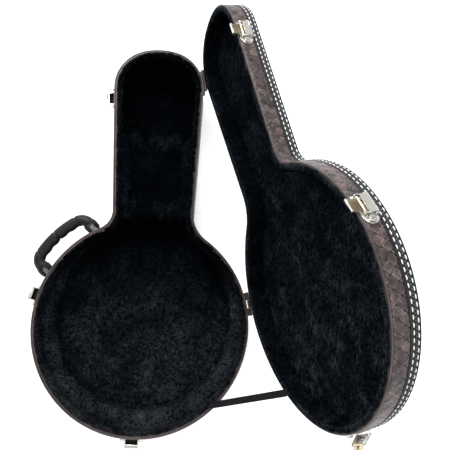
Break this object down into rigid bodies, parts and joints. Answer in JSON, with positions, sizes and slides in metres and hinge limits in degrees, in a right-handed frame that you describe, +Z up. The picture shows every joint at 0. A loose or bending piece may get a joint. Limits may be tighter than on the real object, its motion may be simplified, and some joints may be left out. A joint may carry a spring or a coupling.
{
  "type": "banjo case",
  "caption": "Open hard-shell case for a short-scale banjo: deep plush-lined base with neck block, shallow lid on side hinges, draw latches and a carrying handle.",
  "frame": {"origin": "on the underside of the base, below the centre of its round body", "axes": "+Z up out of the base, +Y towards the headstock end, +X towards the hinge side; the lid stands open at rest"},
  "size_m": [0.4801, 0.6621, 0.3891],
  "materials": {
    "woven_leatherette": "embossed basket weave, satin",
    "rim_binding": "smooth, satin",
    "edge_trim": "black vinyl with two rows of white stitches",
    "plywood": "plain birch ply",
    "plush": "deep black pile",
    "nickel": "nickel plate",
    "hasp_warm_nickel": "nickel with a warm tint",
    "hinge_nickel": "nickel plated steel",
    "key_plug": "nickel plate",
    "grip_moulding": "moulded, satin",
    "handle_bracket": "grey lacquer",
    "steel": "plain",
    "backing_board": "thin fibre board",
    "webbing": "woven strap"
  },
  "bodies": {
    "root": {"base_back_cover": "woven_leatherette", "base_back_panel": "plywood", "base_edge_trim": "edge_trim", "base_floor_lining": "plush", "base_rim_binding": "rim_binding", "base_side_cover": "woven_leatherette", "base_side_wall": "plywood", "base_wall_lining": "plush", "body_hinge_base_leaf": "hinge_nickel", "body_hinge_pin": "hinge_nickel", "body_ring_pad": "plush", "handle_backing_board": "backing_board", "handle_bracket_left": "handle_bracket", "handle_bracket_right": "handle_bracket", "head_hinge_base_leaf": "hinge_nickel", "head_hinge_pin": "hinge_nickel", "keeper_body": "nickel", "keeper_head": "nickel", "keeper_rivets": "nickel", "keeper_tail": "nickel", "neck_block": "plush", "neck_side_pad_left": "plush", "neck_side_pad_right": "plush", "stay_strap": "webbing", "stay_tab_base": "nickel"},
    "lid": {"body_hinge_lid_leaf": "hinge_nickel", "head_hinge_lid_leaf": "hinge_nickel", "latch_plate_body": "nickel", "latch_plate_head": "nickel", "latch_plate_tail": "nickel", "latch_rivets": "nickel", "lever_pin_body": "nickel", "lever_pin_head": "nickel", "lever_pin_tail": "nickel", "lid_edge_trim": "edge_trim", "lid_rim_binding": "rim_binding", "lid_side_cover": "woven_leatherette", "lid_side_wall": "plywood", "lid_top_cover": "woven_leatherette", "lid_top_lining": "plush", "lid_top_panel": "plywood", "lid_wall_lining": "plush", "stay_tab_lid": "nickel"},
    "handle": {"handle_grip": "grip_moulding", "handle_core": "steel", "handle_pins": "steel"},
    "lever_head": {"latch_lever_head": "nickel", "hasp_pin_head": "nickel"},
    "hasp_head": {"latch_hasp_head": "hasp_warm_nickel"},
    "key_head": {"key_plug_head": "key_plug"},
    "lever_body": {"latch_lever_body": "nickel", "hasp_pin_body": "nickel"},
    "hasp_body": {"latch_hasp_body": "hasp_warm_nickel"},
    "key_body": {"key_plug_body": "key_plug"},
    "lever_tail": {"latch_lever_tail": "nickel", "hasp_pin_tail": "nickel"},
    "hasp_tail": {"latch_hasp_tail": "hasp_warm_nickel"},
    "key_tail": {"key_plug_tail": "key_plug"}
  },
  "joints": [
    {"name": "lid_hinge", "type": "hinge", "parent": "root", "child": "lid", "pos_m": [0.16564, 0.03596, 0.068], "axis": [-0.2122, 0.9772, 0], "range_deg": [-106.4, 0], "deforming": ["stay_strap"]},
    {"name": "handle_swing", "type": "hinge", "parent": "root", "child": "handle", "pos_m": [-0.12229, 0.11809, 0.042], "axis": [0.6947, 0.7193, 0], "range_deg": [-70, 75]},
    {"name": "lever_head", "type": "hinge", "parent": "lid", "child": "lever_head", "pos_m": [0.14655, 0.41292, 0.21263], "axis": [-0.255, 0.9537, -0.1592], "range_deg": [0, 110]},
    {"name": "hasp_head", "type": "hinge", "parent": "lever_head", "child": "hasp_head", "pos_m": [0.1353, 0.41047, 0.21601], "axis": [-0.255, 0.9537, -0.1592], "range_deg": [0, 60]},
    {"name": "key_head", "type": "hinge", "parent": "lid", "child": "key_head", "pos_m": [0.14405, 0.39478, 0.21602], "axis": [0.2369, 0.2212, 0.946], "range_deg": [0, 90]},
    {"name": "lever_body", "type": "hinge", "parent": "lid", "child": "lever_body", "pos_m": [0.25438, 0.1346, 0.36999], "axis": [-0.315, 0.8413, -0.4392], "range_deg": [0, 110]},
    {"name": "hasp_body", "type": "hinge", "parent": "lever_body", "child": "hasp_body", "pos_m": [0.24313, 0.13216, 0.37338], "axis": [-0.315, 0.8413, -0.4392], "range_deg": [0, 60]},
    {"name": "key_body", "type": "hinge", "parent": "lid", "child": "key_body", "pos_m": [0.25302, 0.118, 0.37833], "axis": [0.1481, 0.5007, 0.8528], "range_deg": [0, 90]},
    {"name": "lever_tail", "type": "hinge", "parent": "lid", "child": "lever_tail", "pos_m": [0.27562, -0.10817, 0.26552], "axis": [0.2152, 0.2986, 0.9298], "range_deg": [-38, 72]},
    {"name": "hasp_tail", "type": "hinge", "parent": "lever_tail", "child": "hasp_tail", "pos_m": [0.26878, -0.11698, 0.26994], "axis": [0.2152, 0.2986, 0.9298], "range_deg": [-22, 38]},
    {"name": "key_tail", "type": "hinge", "parent": "lid", "child": "key_tail", "pos_m": [0.26498, -0.11342, 0.25118], "axis": [0.2736, -0.9324, 0.2361], "range_deg": [0, 90]}
  ]
}
